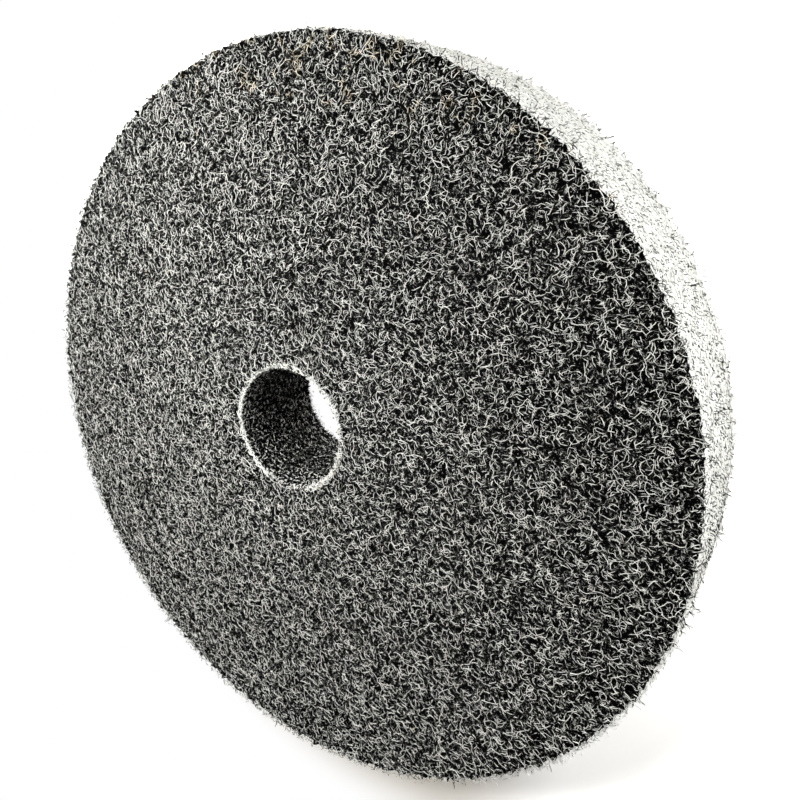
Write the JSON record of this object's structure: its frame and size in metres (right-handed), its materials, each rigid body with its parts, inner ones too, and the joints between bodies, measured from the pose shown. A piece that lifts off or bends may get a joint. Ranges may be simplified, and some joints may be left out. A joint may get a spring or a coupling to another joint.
{
  "type": "deburring wheel",
  "caption": "Thick flat disc of bonded abrasive fibre with an open porous web, frayed edges and a plain round arbor hole, for taking burrs off metal and blending edges.",
  "frame": {"origin": "middle of the back face, on the wheel's axis", "axes": "+Z along the wheel's axis, from the back face it lies on to the front face; X and Y across the face"},
  "size_m": [0.1524, 0.1524, 0.0254],
  "materials": {
    "abrasive_fibre": "open web of crimped dark grey nylon fibre, bonded with dull resin and abrasive grain"
  },
  "bodies": {
    "root": {"abrasive_wheel": "abrasive_fibre"}
  },
  "joints": []
}
